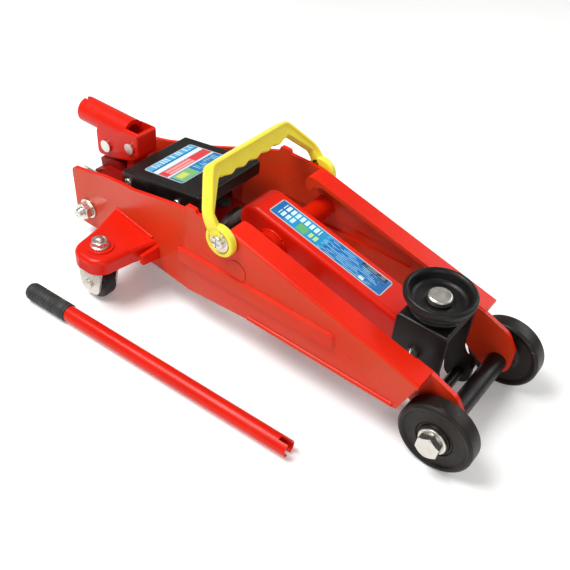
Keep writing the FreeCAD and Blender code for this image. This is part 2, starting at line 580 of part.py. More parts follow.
def handle_socket():
    """Rolled socket tube with two hanging cheeks joined by a front wall."""
    tube = bar_x(0, TUBE_Z, TUBE_R, TUBE_REAR, TUBE_FRONT)
    outline = [(-427, 79.5, 4), (-402, 81.5, 0), (-380, 88, 6), (BOX_FRONT, 97, 6),
               (BOX_FRONT, 122, 3), (TUBE_FRONT, 121, 0), (-394, TUBE_Z, 0), (-424, TUBE_Z, 0),
               (-427, 104, 2)]
    shell = side_slab(outline, -SOCKET_HALF, SOCKET_HALF)
    shell = filleted(shell, 3.0, lambda p: abs(abs(p.y) - SOCKET_HALF) < 0.01
                     and abs(p.x - BOX_FRONT) < 0.01)
    cavity = side_slab([(-440, 60, 0), (-440, 99.9, 0), (TUBE_FRONT, 99.9, 0), (TUBE_FRONT, 130, 0),
                        (BOX_FRONT - SOCKET_T, 130, 0), (BOX_FRONT - SOCKET_T, 60, 0)],
                       -SOCKET_HALF + SOCKET_T, SOCKET_HALF - SOCKET_T)
    shell = shell.cut(cavity)
    body = fused([shell, tube])
    body = body.cut(bar_x(0, TUBE_Z, TUBE_BORE, TUBE_REAR - 5, TUBE_FRONT + 6))
    body = body.cut(box(TUBE_REAR - 1, TUBE_REAR + 7, -1.6, 1.6, TUBE_Z + 2, TUBE_Z + 20))
    body = body.cut(bar_y(*FULCRUM, FULCRUM_D / 2 + RUN_CLEAR, -30, 30))
    return body.cut(bar_y(*PUMP_PIN, PUMP_PIN_D / 2, -30, 30))


def through_pin(x, z, diameter, head):
    """Pin across the socket with a low head outside each cheek."""
    pin = bar_y(x, z, diameter / 2, -SOCKET_HALF - 0.2, SOCKET_HALF + 0.2)
    ends = [bar_y(x, z, head / 2, SOCKET_HALF + 0.2, SOCKET_HALF + 2.4),
            bar_y(x, z, head / 2, -SOCKET_HALF - 2.4, -SOCKET_HALF - 0.2)]
    return fused([pin] + ends)


def release_valve():
    """Screw-in release spindle with a slotted drive for the bar end."""
    seat = BLOCK_STEP - 0.2
    spindle = bar_x(VALVE_Y, VALVE_Z, 4.12, seat - 1, seat + 13.7)
    head = bar_x(VALVE_Y, VALVE_Z, 7.5, seat - 24, seat)
    slot = box(seat - 25, seat - 17, VALVE_Y - 2, VALVE_Y + 2, VALVE_Z - 12, VALVE_Z + 12)
    return fused([spindle, head.cut(slot)])


def filler_plug():
    """Rubber plug in the tank wall."""
    top = RAM_Z + 1 + TANK_R
    return fused([bar_z(-272, 0, 4, top - 5, top + 0.4), bar_z(-272, 0, 6.5, top, top + 2.5)])


def carry_handle():
    """Plastic bail: round boss on each side, arms leaning in to a grooved grip."""
    x, z = GRAB
    lean = math.radians(GRAB_LEAN)
    up = V(-math.sin(lean), 0, math.cos(lean))
    ahead = V(math.cos(lean), 0, math.sin(lean))
    inner = PLATE_OUT + GRAB_GAP
    outer = inner + GRAB_T

    def band(points, width):
        """Band of constant width following the bail's plane, through (y, rise) points."""
        line = [V(x, y, z) + up * rise - ahead * (width / 2) for y, rise in points + points[:1]]
        return Part.Face(Part.makePolygon(line)).extrude(ahead * width)

    half_grip = [(51, 54), (47, 58), (0, 58)]
    grooves = [(0, 42), (8, 44), (16, 42), (24, 44), (32, 42), (40, 44), (44, 46)]
    grip = band(half_grip + [(-y, rise) for y, rise in reversed(half_grip[:-1])]
                + [(-y, rise) for y, rise in reversed(grooves)] + grooves[1:], 14)
    pieces = [grip]
    for sign in (-1, 1):
        pieces.append(band([(sign * inner, 0), (sign * outer, 0), (sign * outer, 24), (sign * 51.5, 55),
                            (sign * 44, 55), (sign * 44, 48), (sign * inner, 22)], 13))
        pieces.append(bar_y(x, z, 14.5, *sorted((sign * inner, sign * outer))))
    body = fused(pieces)
    for sign in (-1, 1):
        body = body.cut(bar_y(x, z, 4 + RUN_CLEAR, *sorted((sign * (inner - 1), sign * (outer + 1)))))
        body = body.cut(bar_y(x, z, 10.2, *sorted((sign * (outer - 2.2), sign * (outer + 1)))))
    return body


def handle_screw():
    """Right-hand screw and washer of the carry handle."""
    x, z = GRAB
    seat = PLATE_OUT + GRAB_GAP + GRAB_T - 2.0
    washer = bar_y(x, z, 9.6, seat, seat + 1.4)
    head = bar_y(x, z, 6.2, seat + 1.4, seat + 5.0)
    head = head.makeFillet(1.6, [e for e in head.Edges if abs(e.BoundBox.YMin - seat - 5.0) < 0.01])
    head = head.cut(box(x - 4.5, x + 4.5, seat + 3.6, seat + 6, z - 0.7, z + 0.7))
    head = head.cut(box(x - 0.7, x + 0.7, seat + 3.6, seat + 6, z - 4.5, z + 4.5))
    return fused([bar_y(x, z, 4, PLATE_IN, seat + 2), washer, head])


def along_bar(shape):
    """Put a piece drawn along +X from the origin onto the bar's place on the floor."""
    shape.rotate(V(0, 0, 0), Z_DIR, BAR_YAW)
    shape.translate(V(BAR_REAR[0], BAR_REAR[1], BAR_D / 2 + 1))
    return shape


def pump_bar():
    """Steel tube, turned down under the grip, with a slotted drive end."""
    radius = BAR_D / 2
    tube = fused([bar_x(0, 0, radius, GRIP_LEN, BAR_LEN), bar_x(0, 0, radius - 0.3, 4, GRIP_LEN + 1)])
    tube = tube.cut(bar_x(0, 0, radius - BAR_WALL, -1, BAR_LEN + 1))
    return along_bar(tube.cut(box(BAR_LEN - 9, BAR_LEN + 1, -2.2, 2.2, -BAR_D, BAR_D)))


def bar_grip():
    """Rubber sleeve with a domed end."""
    radius = BAR_D / 2 - 0.3
    sleeve = bar_x(0, 0, radius + GRIP_T, 0, GRIP_LEN)
    sleeve = sleeve.makeFillet(4, [e for e in sleeve.Edges if abs(e.BoundBox.XMax) < 0.01])
    return along_bar(sleeve.cut(bar_x(0, 0, radius, 4, GRIP_LEN + 1)))


def pair(name, shape):
    """Save a right-hand piece and its left-hand mirror as two nodes."""
    save(name + "_right", shape)
    save(name + "_left", mirrored(shape))


os.makedirs("parts", exist_ok=True)

pair("side_plate", side_plate())
pair("caster_ear", caster_ear())
pair("caster_fork", caster_fork())
pair("caster_wheel", caster_wheel())
pair("caster_axle", caster_axle())
pair("front_wheel", front_wheel())
pair("leveling_rod", leveling_rod())

save("caster_studs", both(caster_stud()))
save("caster_nuts", both(caster_nut()))
save("front_axle", front_axle())
save("wheel_washers", both(wheel_washer()))
save("wheel_bolts", both(wheel_bolt()))
save("rear_rod", bar_y(ROD_X, ROD_Z, ROD_D / 2, -ROD_HALF, ROD_HALF))
save("rear_nuts", both(rod_nut()))
save("rod_spacers", both(rod_spacer()))
save("link_studs", both(link_stud()))

save("power_block", power_block())
save("reservoir", reservoir())
save("ram_cylinder", ram_cylinder())
save("piston", piston())
save("lever_pin", bar_y(*LEVER_PIN, 4, -16, 16))
save("release_valve", release_valve())
save("filler_plug", filler_plug())

save("pump_yoke", pump_yoke())
save("pump_plunger", pump_plunger())
save("handle_socket", handle_socket())
save("fulcrum_pin", through_pin(*FULCRUM, FULCRUM_D, 11))
save("plunger_pin", through_pin(*PUMP_PIN, PUMP_PIN_D, 12.5))

save("arm_shaft", bar_y(*PIVOT, SHAFT_D / 2, -PLATE_OUT - 0.6, PLATE_OUT + 0.6))
save("lift_arm", lift_arm())
save("arm_label", label_plate(-212, -94, 11, arm_top(-211), -0.2424, -211))
save("arm_pin", arm_pin())
save("arm_cotter", arm_cotter())
save("saddle_bracket", saddle_bracket())
save("saddle_pin", saddle_pin())
save("saddle", saddle())
save("lower_pin", lower_pin())

save("cover_plate", cover_plate())
save("cover_label", label_plate(-343, -294, 31, COVER_Z, COVER_SLOPE, COVER_REAR))
save("cover_screws", Part.makeCompound([both(cover_screw(x, z)) for x, z in COVER_SCREWS]))

save("carry_handle", carry_handle())
save("handle_screws", both(handle_screw()))
save("pump_bar", pump_bar())
save("bar_grip", bar_grip())
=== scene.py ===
import json
import math
import bmesh
import bpy
from mathutils import Matrix, Vector


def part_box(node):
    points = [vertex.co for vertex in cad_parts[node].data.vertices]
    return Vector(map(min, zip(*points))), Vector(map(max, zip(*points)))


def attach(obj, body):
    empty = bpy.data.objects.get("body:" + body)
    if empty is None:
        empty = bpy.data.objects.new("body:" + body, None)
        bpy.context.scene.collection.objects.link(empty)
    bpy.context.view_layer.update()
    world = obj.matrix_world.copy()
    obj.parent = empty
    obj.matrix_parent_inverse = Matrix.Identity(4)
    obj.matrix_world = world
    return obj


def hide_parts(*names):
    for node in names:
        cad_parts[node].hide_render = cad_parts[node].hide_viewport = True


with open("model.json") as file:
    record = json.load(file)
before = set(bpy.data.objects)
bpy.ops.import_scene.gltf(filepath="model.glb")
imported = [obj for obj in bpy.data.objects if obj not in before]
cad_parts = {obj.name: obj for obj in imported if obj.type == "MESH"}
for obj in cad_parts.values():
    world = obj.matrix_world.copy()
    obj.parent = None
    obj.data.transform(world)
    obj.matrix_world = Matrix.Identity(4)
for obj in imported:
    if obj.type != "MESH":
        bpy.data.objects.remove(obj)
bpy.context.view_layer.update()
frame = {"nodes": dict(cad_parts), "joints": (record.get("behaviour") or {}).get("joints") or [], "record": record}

MM = 0.001
NODES = frame["nodes"]
X_DIR, Y_DIR, Z_DIR = Vector((1, 0, 0)), Vector((0, 1, 0)), Vector((0, 0, 1))
SIDES = {"left": -1, "right": 1}


# ---------------------------------------------------------------- materials

class Paint:
    """A material's node tree, with short calls for the nodes that the finishes below use."""

    def __init__(self, name, color, roughness, metallic=0.0):
        self.material = bpy.data.materials.new(name)
        self.material.use_nodes = True
        self.tree = self.material.node_tree
        self.shader = self.tree.nodes["Principled BSDF"]
        self.shader.inputs["Base Color"].default_value = (*color, 1)
        self.shader.inputs["Roughness"].default_value = roughness
        self.shader.inputs["Metallic"].default_value = metallic
        self.place = self.node("ShaderNodeTexCoord").outputs["Object"]

    def node(self, kind, **settings):
        made = self.tree.nodes.new(kind)
        for key, value in settings.items():
            setattr(made, key, value)
        return made

    def put(self, socket, value):
        if isinstance(value, bpy.types.NodeSocket):
            self.tree.links.new(value, socket)
        elif isinstance(value, tuple) and len(value) == 3 and len(socket.default_value) == 4:
            socket.default_value = (*value, 1)
        else:
            socket.default_value = value

    def set(self, **values):
        """Set or link shader inputs; an underscore in a key stands for a space."""
        for key, value in values.items():
            self.put(self.shader.inputs[key.replace("_", " ")], value)

    def calc(self, operation, a, b=0.0, clamp=False):
        made = self.node("ShaderNodeMath", operation=operation, use_clamp=clamp)
        self.put(made.inputs[0], a)
        self.put(made.inputs[1], b)
        return made.outputs[0]

    def stretched(self, scale):
        """Object coordinates scaled by three numbers."""
        made = self.node("ShaderNodeMapping")
        self.put(made.inputs["Vector"], self.place)
        made.inputs["Scale"].default_value = scale
        return made.outputs[0]

    def noise(self, scale, detail=3.0, roughness=0.5, at=None, warp=0.0):
        made = self.node("ShaderNodeTexNoise")
        self.put(made.inputs["Vector"], at or self.place)
        made.inputs["Scale"].default_value = scale
        made.inputs["Detail"].default_value = detail
        made.inputs["Roughness"].default_value = roughness
        made.inputs["Distortion"].default_value = warp
        return made.outputs["Fac"]

    def cells(self, scale):
        made = self.node("ShaderNodeTexVoronoi")
        self.put(made.inputs["Vector"], self.place)
        made.inputs["Scale"].default_value = scale
        return made.outputs["Distance"]

    def span(self, value, low, high, out_low=0.0, out_high=1.0):
        """Map a range of a value to another range, clamped."""
        made = self.node("ShaderNodeMapRange")
        self.put(made.inputs["Value"], value)
        limits = {"From Min": low, "From Max": high, "To Min": out_low, "To Max": out_high}
        for key, number in limits.items():
            made.inputs[key].default_value = number
        return made.outputs[0]

    def mix(self, factor, a, b):
        """Mix two colours."""
        made = self.node("ShaderNodeMix", data_type="RGBA")
        self.put(made.inputs[0], factor)
        self.put(made.inputs[6], a)
        self.put(made.inputs[7], b)
        return made.outputs[2]

    def bump(self, height, depth, strength=1.0):
        """Add a bump, depth in metres, on top of those already there."""
        made = self.node("ShaderNodeBump")
        made.inputs["Distance"].default_value = depth
        made.inputs["Strength"].default_value = strength
        self.put(made.inputs["Height"], height)
        links = self.shader.inputs["Normal"].links
        if links:
            self.put(made.inputs["Normal"], links[0].from_socket)
        self.put(self.shader.inputs["Normal"], made.outputs[0])

    def axes(self, source=None):
        """A vector's three parts as separate values; the object coordinates if none is given."""
        made = self.node("ShaderNodeSeparateXYZ")
        self.put(made.inputs[0], source or self.place)
        return made.outputs

    def band(self, value, low, high):
        """1 where a value lies between two limits, 0 elsewhere."""
        above = self.calc("GREATER_THAN", value, low)
        return self.calc("MULTIPLY", above, self.calc("LESS_THAN", value, high))

    def patch(self, x, y, x0, x1, y0, y1):
        """1 inside a rectangle of the x and y coordinates."""
        return self.calc("MULTIPLY", self.band(x, x0, x1), self.band(y, y0, y1))


PRIMER = (0.10, 0.05, 0.04)
DUST = (0.60, 0.30, 0.20)
BARE_STEEL = (0.16, 0.145, 0.13)
PIT_DIRT = (0.17, 0.15, 0.13)
OIL_FILM = (0.62, 0.58, 0.48)
YELLOW_GRIME = (0.38, 0.30, 0.08)
RUBBER_BLOOM = (0.075, 0.070, 0.066)
RUBBED_FILM = (0.55, 0.58, 0.62)


def enamel(name, color, deep, roughness=0.30, sides=None):
    """Sprayed gloss enamel: orange peel, runs of tone, dust in the film, rubs and small chips.

    With sides, upright faces that look along Y take that duller, orange-brown colour in soft patches: a painted
    reflection of warm light bounced off the floor.
    """
    p = Paint(name, color, roughness)
    tone = p.span(p.noise(14, 4, 0.6, warp=0.6), 0.35, 0.7)
    body = p.mix(p.calc("MULTIPLY", tone, 0.5), color, deep)
    if sides:
        # Painted reflection: faces looking along Y take the sides colour in noise patches, standing in for floor
        # bounce light.
        facing = p.axes(p.node("ShaderNodeTexCoord").outputs["Normal"])
        upright = p.span(p.calc("ABSOLUTE", facing[1]), 0.6, 0.95)
        reflection_mottle = p.noise(7, 4, 0.6, at=p.stretched((0.6, 1, 2.2)), warp=1.5)
        patches = p.span(reflection_mottle, 0.35, 0.68, 0.35, 0.95)
        body = p.mix(p.calc("MULTIPLY", upright, patches), body, sides)
    dust = p.span(p.noise(60, 6, 0.75), 0.60, 0.80)
    body = p.mix(p.calc("MULTIPLY", dust, 0.05), body, DUST)
    specks = p.calc("MULTIPLY", p.span(p.cells(210), 0.09, 0.05), p.span(p.noise(26, 2), 0.60, 0.68))
    fine = p.noise(330, 3, 0.6, at=p.stretched((0.12, 1, 1)))
    rubs = p.calc("MULTIPLY", p.span(fine, 0.68, 0.74), p.span(p.noise(17, 3), 0.54, 0.66))
    chips = p.calc("MAXIMUM", specks, p.calc("MULTIPLY", rubs, 0.45), clamp=True)
    p.set(Base_Color=p.mix(chips, body, PRIMER))
    smear = p.noise(9, 5, 0.65, at=p.stretched((1, 1, 2.4)), warp=1.2)
    film = p.calc("ADD", p.span(smear, 0.3, 0.75, -0.06, 0.14), roughness)
    rough = p.calc("ADD", film, p.calc("MULTIPLY", chips, 0.3), clamp=True)
    p.set(Roughness=rough, Specular_IOR_Level=0.20, Coat_Weight=0.06, Coat_Roughness=0.12)
    p.bump(p.noise(420, 2, 0.4), 0.00010, 0.45)
    p.bump(p.noise(38, 3, 0.5), 0.00035, 0.25)
    p.bump(p.calc("SUBTRACT", 1.0, chips), 0.00010, 0.6)
    return p.material


def black_coat(name, color=(0.0050, 0.0046, 0.0044), roughness=0.36,
               scuff=(0.024, 0.020, 0.017), grain=0.0):
    """Satin black coating or oxide: dusty bloom, fine scratches, optional cast grain."""
    p = Paint(name, color, roughness)
    bloom = p.span(p.noise(28, 6, 0.7, warp=0.8), 0.45, 0.8)
    body = p.mix(p.calc("MULTIPLY", bloom, 0.5), color, scuff)
    scratch = p.noise(260, 3, 0.6, at=p.stretched((0.25, 1, 1.4)))
    scratches = p.calc("MULTIPLY", p.span(scratch, 0.66, 0.72), p.span(p.noise(22, 2), 0.5, 0.65))
    p.set(Base_Color=p.mix(p.calc("MULTIPLY", scratches, 0.5), body, BARE_STEEL))
    rough = p.calc("ADD", p.span(p.noise(60, 4, 0.6), 0.3, 0.7, -0.07, 0.14), roughness, clamp=True)
    p.set(Roughness=rough, Specular_IOR_Level=0.30)
    p.bump(p.noise(500, 3, 0.6), 0.00010, 0.4)
    if grain:
        p.bump(p.noise(230, 4, 0.62), grain, 0.8)
        p.bump(p.cells(420), grain * 0.5, 0.5)
    return p.material


def zinc(name, color=(0.70, 0.69, 0.66), roughness=0.30, warm=(0.62, 0.55, 0.40)):
    """Zinc-plated steel: spangled tone, fine tooling lines, slight yellowing and dirt in the pits."""
    p = Paint(name, color, roughness, 1.0)
    tone = p.span(p.noise(95, 5, 0.65, warp=0.5), 0.35, 0.7)
    body = p.mix(p.calc("MULTIPLY", tone, 0.45), color, warm)
    dirt = p.span(p.noise(210, 5, 0.7), 0.60, 0.74)
    p.set(Base_Color=p.mix(p.calc("MULTIPLY", dirt, 0.5), body, PIT_DIRT))
    rough = p.calc("ADD", p.span(tone, 0, 1, -0.06, 0.14), roughness, clamp=True)
    p.set(Roughness=p.calc("ADD", rough, p.calc("MULTIPLY", dirt, 0.2), clamp=True))
    p.bump(p.noise(700, 2, 0.5, at=p.stretched((1, 0.15, 1))), 0.00005, 0.5)
    p.bump(p.noise(240, 4, 0.6), 0.00008, 0.5)
    return p.material


def plated_rod(name):
    """Hard chrome with fine polishing marks and a thin oil film."""
    color = (0.82, 0.82, 0.83)
    p = Paint(name, color, 0.10, 1.0)
    film = p.span(p.noise(40, 4, 0.6), 0.4, 0.75)
    p.set(Roughness=p.calc("ADD", p.calc("MULTIPLY", film, 0.12), 0.08))
    p.set(Base_Color=p.mix(p.calc("MULTIPLY", film, 0.3), color, OIL_FILM))
    p.bump(p.noise(900, 2, 0.5, at=p.stretched((0.1, 1, 1))), 0.00002, 0.4)
    return p.material


def moulded_yellow(name):
    """Glossy moulded plastic with soft flow marks, rub marks and a fine spark-eroded grain."""
    color, deep = (0.88, 0.76, 0.045), (0.78, 0.62, 0.025)
    p = Paint(name, color, 0.36)
    flow = p.span(p.noise(20, 4, 0.55, warp=1.5), 0.35, 0.7)
    body = p.mix(p.calc("MULTIPLY", flow, 0.5), color, deep)
    grime = p.span(p.noise(85, 6, 0.75), 0.62, 0.8)
    p.set(Base_Color=p.mix(p.calc("MULTIPLY", grime, 0.18), body, YELLOW_GRIME))
    p.set(Roughness=p.span(p.noise(45, 4, 0.6), 0.3, 0.75, 0.28, 0.50), IOR=1.49)
    p.set(Subsurface_Weight=0.12, Subsurface_Radius=(0.004, 0.003, 0.001), Subsurface_Scale=1.0)
    p.bump(p.noise(850, 3, 0.6), 0.00005, 0.5)
    p.bump(p.noise(35, 2, 0.5), 0.0003, 0.2)
    return p.material


def rubber(name):
    """Matt black rubber with bloom and a moulded grain."""
    color = (0.018, 0.018, 0.018)
    p = Paint(name, color, 0.62)
    bloom = p.span(p.noise(50, 5, 0.7, warp=0.6), 0.4, 0.75)
    p.set(Base_Color=p.mix(p.calc("MULTIPLY", bloom, 0.55), color, RUBBER_BLOOM))
    p.set(Roughness=p.span(p.noise(90, 4, 0.6), 0.3, 0.7, 0.52, 0.78))
    p.bump(p.noise(620, 4, 0.6), 0.00012, 0.6)
    return p.material


class Print(Paint):
    """A printed film; x and y run along and across it from its middle, in metres."""

    def __init__(self, name, color, deep):
        super().__init__(name, color, 0.24)
        self.x, self.y, _ = self.axes()
        fade = self.span(self.noise(34, 4, 0.6, warp=0.8), 0.35, 0.7)
        self.ink = self.mix(self.calc("MULTIPLY", fade, 0.6), color, deep)

    def window(self, x0, x1, y0, y1):
        """1 inside a rectangle, in millimetres from the middle."""
        return self.patch(self.x, self.y, x0 * MM, x1 * MM, y0 * MM, y1 * MM)

    def lay(self, mask, color, amount):
        """Print a colour where the mask is 1."""
        self.ink = self.mix(self.calc("MULTIPLY", mask, amount), self.ink, color)

    def area(self, x0, x1, y0, y1, color, amount):
        """Print a rectangle."""
        self.lay(self.window(x0, x1, y0, y1), color, amount)

    def rows(self, x0, x1, y0, y1, pitch, color, amount, broken=90.0):
        """Print fine lines along x, broken at uneven places, inside a rectangle."""
        phase = self.calc("FRACT", self.calc("DIVIDE", self.y, pitch * MM))
        uneven = self.noise(broken, 1, at=self.stretched((1.0, 5.0, 1.0)))
        strokes = self.calc("MULTIPLY", self.band(phase, 0.3, 0.68), self.calc("GREATER_THAN", uneven, 0.47))
        self.lay(self.calc("MULTIPLY", self.window(x0, x1, y0, y1), strokes), color, amount)

    def blocks(self, x0, x1, y0, y1, pitch, color, amount=0.95):
        """Print a row of equal plain blocks."""
        phase = self.calc("FRACT", self.calc("DIVIDE", self.x, pitch * MM))
        strokes = self.band(phase, 0.12, 0.80)
        self.lay(self.calc("MULTIPLY", self.window(x0, x1, y0, y1), strokes), color, amount)

    def border(self, half_x, half_y, color, width=1.0 * MM):
        """Print an edge all round the film."""
        u, v = half_x - width, half_y - width
        inside = self.patch(self.x, self.y, -u, u, -v, v)
        self.ink = self.mix(self.calc("SUBTRACT", 1.0, inside), self.ink, color)

    def done(self):
        """Add rub marks and the film's gloss, and return the material."""
        fine = self.noise(300, 4, 0.6, at=self.stretched((0.2, 1, 1)))
        rub = self.calc("MULTIPLY", self.span(fine, 0.62, 0.74), 0.35)
        self.set(Base_Color=self.mix(rub, self.ink, RUBBED_FILM))
        gloss = self.span(self.noise(70, 4, 0.6), 0.3, 0.75, 0.18, 0.40)
        self.set(Roughness=gloss, Specular_IOR_Level=0.4)
        self.bump(self.noise(26, 2, 0.5), 0.00025, 0.3)
        self.bump(self.noise(520, 2, 0.5), 0.00003, 0.4)
        return self.material


def arm_print(half_x, half_y):
    """Blue film with plain blocks, fine rows and colour patches, along the lift arm."""
    p = Print("arm_print", (0.010, 0.155, 0.43), (0.006, 0.085, 0.26))
    p.area(-44, -4, -11, 11, (0.02, 0.30, 0.55), 0.75)
    p.blocks(-54, -14, 1.6, 8.0, 5.2, (0.62, 0.86, 0.86))
    p.blocks(-54, -36, -6.4, -0.4, 5.2, (0.55, 0.80, 0.86))
    p.area(-33, -23, -8.4, 0.4, (0.13, 0.42, 0.10), 0.9)
    p.blocks(-22, -10, -7.0, -1.4, 5.2, (0.45, 0.70, 0.20))
    p.rows(-8, 52, -9.0, 8.6, 1.9, (0.32, 0.66, 0.86), 0.75)
    p.area(30, 56, 5.2, 9.6, (0.004, 0.010, 0.035), 0.9)
    p.rows(30, 54, 5.6, 9.2, 1.2, (0.5, 0.5, 0.45), 0.7)
    p.area(36, 41, -8.6, -5.6, (0.66, 0.80, 0.84), 0.85)
    p.border(half_x, half_y, (0.50, 0.49, 0.50))
    return p.done()


def cover_print(half_x, half_y):
    """Blue film with a red band, pale rows and a green patch, across the cover."""
    p = Print("cover_print", (0.012, 0.18, 0.42), (0.006, 0.10, 0.28))
    p.area(-25, -16, -32, 32, (0.10, 0.42, 0.66), 0.8)
    p.rows(-24, -16, -28, 28, 3.4, (0.75, 0.88, 0.92), 0.8, 60.0)
    p.area(-13, -7, -30, 30, (0.72, 0.78, 0.80), 0.92)
    p.area(-6.4, 4.4, -30, 30, (0.66, 0.035, 0.030), 0.95)
    p.blocks(-6, 4, -24, 8, 4.4, (0.86, 0.42, 0.40), 0.75)
    p.area(4.8, 7.2, -32, 32, (0.70, 0.72, 0.70), 0.9)
    p.area(8, 23, -28, -6, (0.20, 0.46, 0.12), 0.85)
    p.area(10, 18, -25, -14, (0.62, 0.62, 0.12), 0.8)
    p.rows(9, 22, -2, 28, 2.4, (0.40, 0.66, 0.78), 0.8)
    p.border(half_x, half_y, (0.42, 0.44, 0.46))
    return p.done()


RED = enamel("red_enamel", (0.70, 0.013, 0.002), (0.50, 0.006, 0.0015))
# Side plates: a painted floor reflection, in this orange-brown, on their faces that look along Y.
PLATE_RED = enamel("plate_enamel", (0.72, 0.015, 0.002), (0.56, 0.009, 0.002),
                   sides=(0.52, 0.056, 0.014))
CAST_RED = enamel("casting_enamel", (0.26, 0.005, 0.003), (0.17, 0.004, 0.003), roughness=0.38)
BLACK = black_coat("black_satin")
CAST_BLACK = black_coat("cast_black", roughness=0.40, grain=0.00018)
WHEEL = black_coat("wheel_black", (0.0075, 0.0048, 0.0034), 0.40, (0.030, 0.017, 0.010))
ZINC = zinc("zinc_plate")
# Very dark base colour: painted shade, so the gland inside the frame behind the arm looks as dark as its shaded
# surroundings.
STEEL = zinc("turned_steel", (0.15, 0.145, 0.14), 0.36, (0.12, 0.10, 0.08))
CHROME = plated_rod("chrome_rod")
YELLOW = moulded_yellow("yellow_plastic")
RUBBER = rubber("black_rubber")

FINISH = {"red_paint": RED, "casting_red": CAST_RED, "black_paint": BLACK, "saddle_black": CAST_BLACK,
          "wheel_black": WHEEL, "zinc_steel": ZINC, "turned_steel": STEEL, "chrome_rod": CHROME,
          "yellow_plastic": YELLOW, "black_rubber": RUBBER, "label_film": BLACK}


# ------------------------------------------------- CAD nodes that stay shown

def soften(obj, width, segments=3, angle=32):
    """Round a piece's edges with modifiers, which leave its own mesh alone."""
    weld = obj.modifiers.new("merge", "WELD")
    weld.merge_threshold = 0.01 * MM
    bevel = obj.modifiers.new("round", "BEVEL")
    bevel.width = width
    bevel.segments = segments
    bevel.limit_method = "ANGLE"
    bevel.angle_limit = math.radians(angle)
    bevel.use_clamp_overlap = True
    bevel.miter_outer = "MITER_ARC"
    normals = obj.modifiers.new("shade", "WEIGHTED_NORMAL")
    normals.keep_sharp = False
    normals.weight = 60


SLOT = {part["node"]: part["material_slot"] for part in frame["record"]["subparts"]}
SIDE_PLATES = {"side_plate_left", "side_plate_right"}
# Pieces whose Y-facing faces carry the painted floor reflection.
REFLECTION_TINTED = SIDE_PLATES | {"arm_shaft"}
PRESSED = SIDE_PLATES | {"lift_arm", "caster_ear_left", "caster_ear_right"}
PRESSED_EDGE, CUT_EDGE = 0.9 * MM, 0.5 * MM
for name, obj in NODES.items():
    obj.data.materials.clear()
    obj.data.materials.append(PLATE_RED if name in REFLECTION_TINTED else FINISH[SLOT[name]])
    soften(obj, PRESSED_EDGE if name in PRESSED else CUT_EDGE)


# ------------------------------------------------------------- mesh building

def piece(name, shell, body, slot, replaces=(), smooth=38, material=None, place=None):
    """Add a visual piece from a shell in metres; it rides on a CAD body."""
    mesh = bpy.data.meshes.new(name)
    mesh.from_pydata([tuple(v) for v in shell.verts], [], shell.faces)
    bm = bmesh.new()
    bm.from_mesh(mesh)
    bmesh.ops.recalc_face_normals(bm, faces=bm.faces)
    bm.to_mesh(mesh)
    bm.free()
    mesh.shade_smooth()
    mesh.set_sharp_from_angle(angle=math.radians(smooth))
    mesh.materials.append(material or FINISH[slot])
    obj = bpy.data.objects.new(name, mesh)
    bpy.context.scene.collection.objects.link(obj)
    if place is not None:
        obj.matrix_world = place
    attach(obj, body)
    if replaces:
        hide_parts(*replaces)
    return obj


THREAD_PITCH = 1.25 * MM


